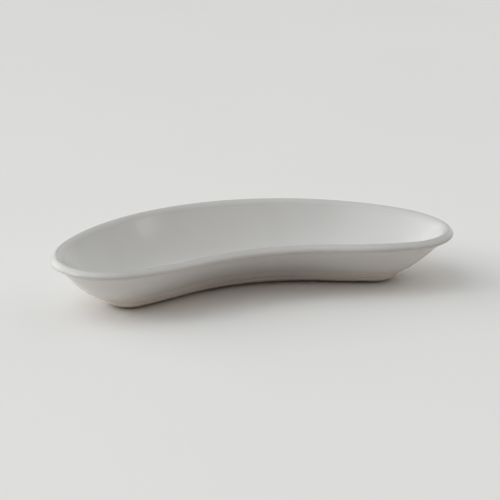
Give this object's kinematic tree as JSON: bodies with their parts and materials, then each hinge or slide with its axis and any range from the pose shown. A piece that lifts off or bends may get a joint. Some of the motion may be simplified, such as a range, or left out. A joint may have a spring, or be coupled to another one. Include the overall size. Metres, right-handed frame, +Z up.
{
  "type": "kidney dish",
  "caption": "Shallow kidney-shaped ward dish with a turned-out rounded rim, sloping walls and a low bare foot ring under a glazed bowl.",
  "frame": {"origin": "on the surface the dish stands on, under the middle of its length and width", "axes": "+X along the length, +Y toward the convex back, -Y toward the concave side, +Z up out of the bowl"},
  "size_m": [0.25, 0.1199, 0.0329],
  "materials": {
    "bare_porcelain": "matte unglazed biscuit",
    "white_glaze": "glossy off-white glaze"
  },
  "bodies": {
    "root": {"porcelain_body": "bare_porcelain", "glaze_coat": "white_glaze", "underside_glaze": "white_glaze"}
  },
  "joints": []
}
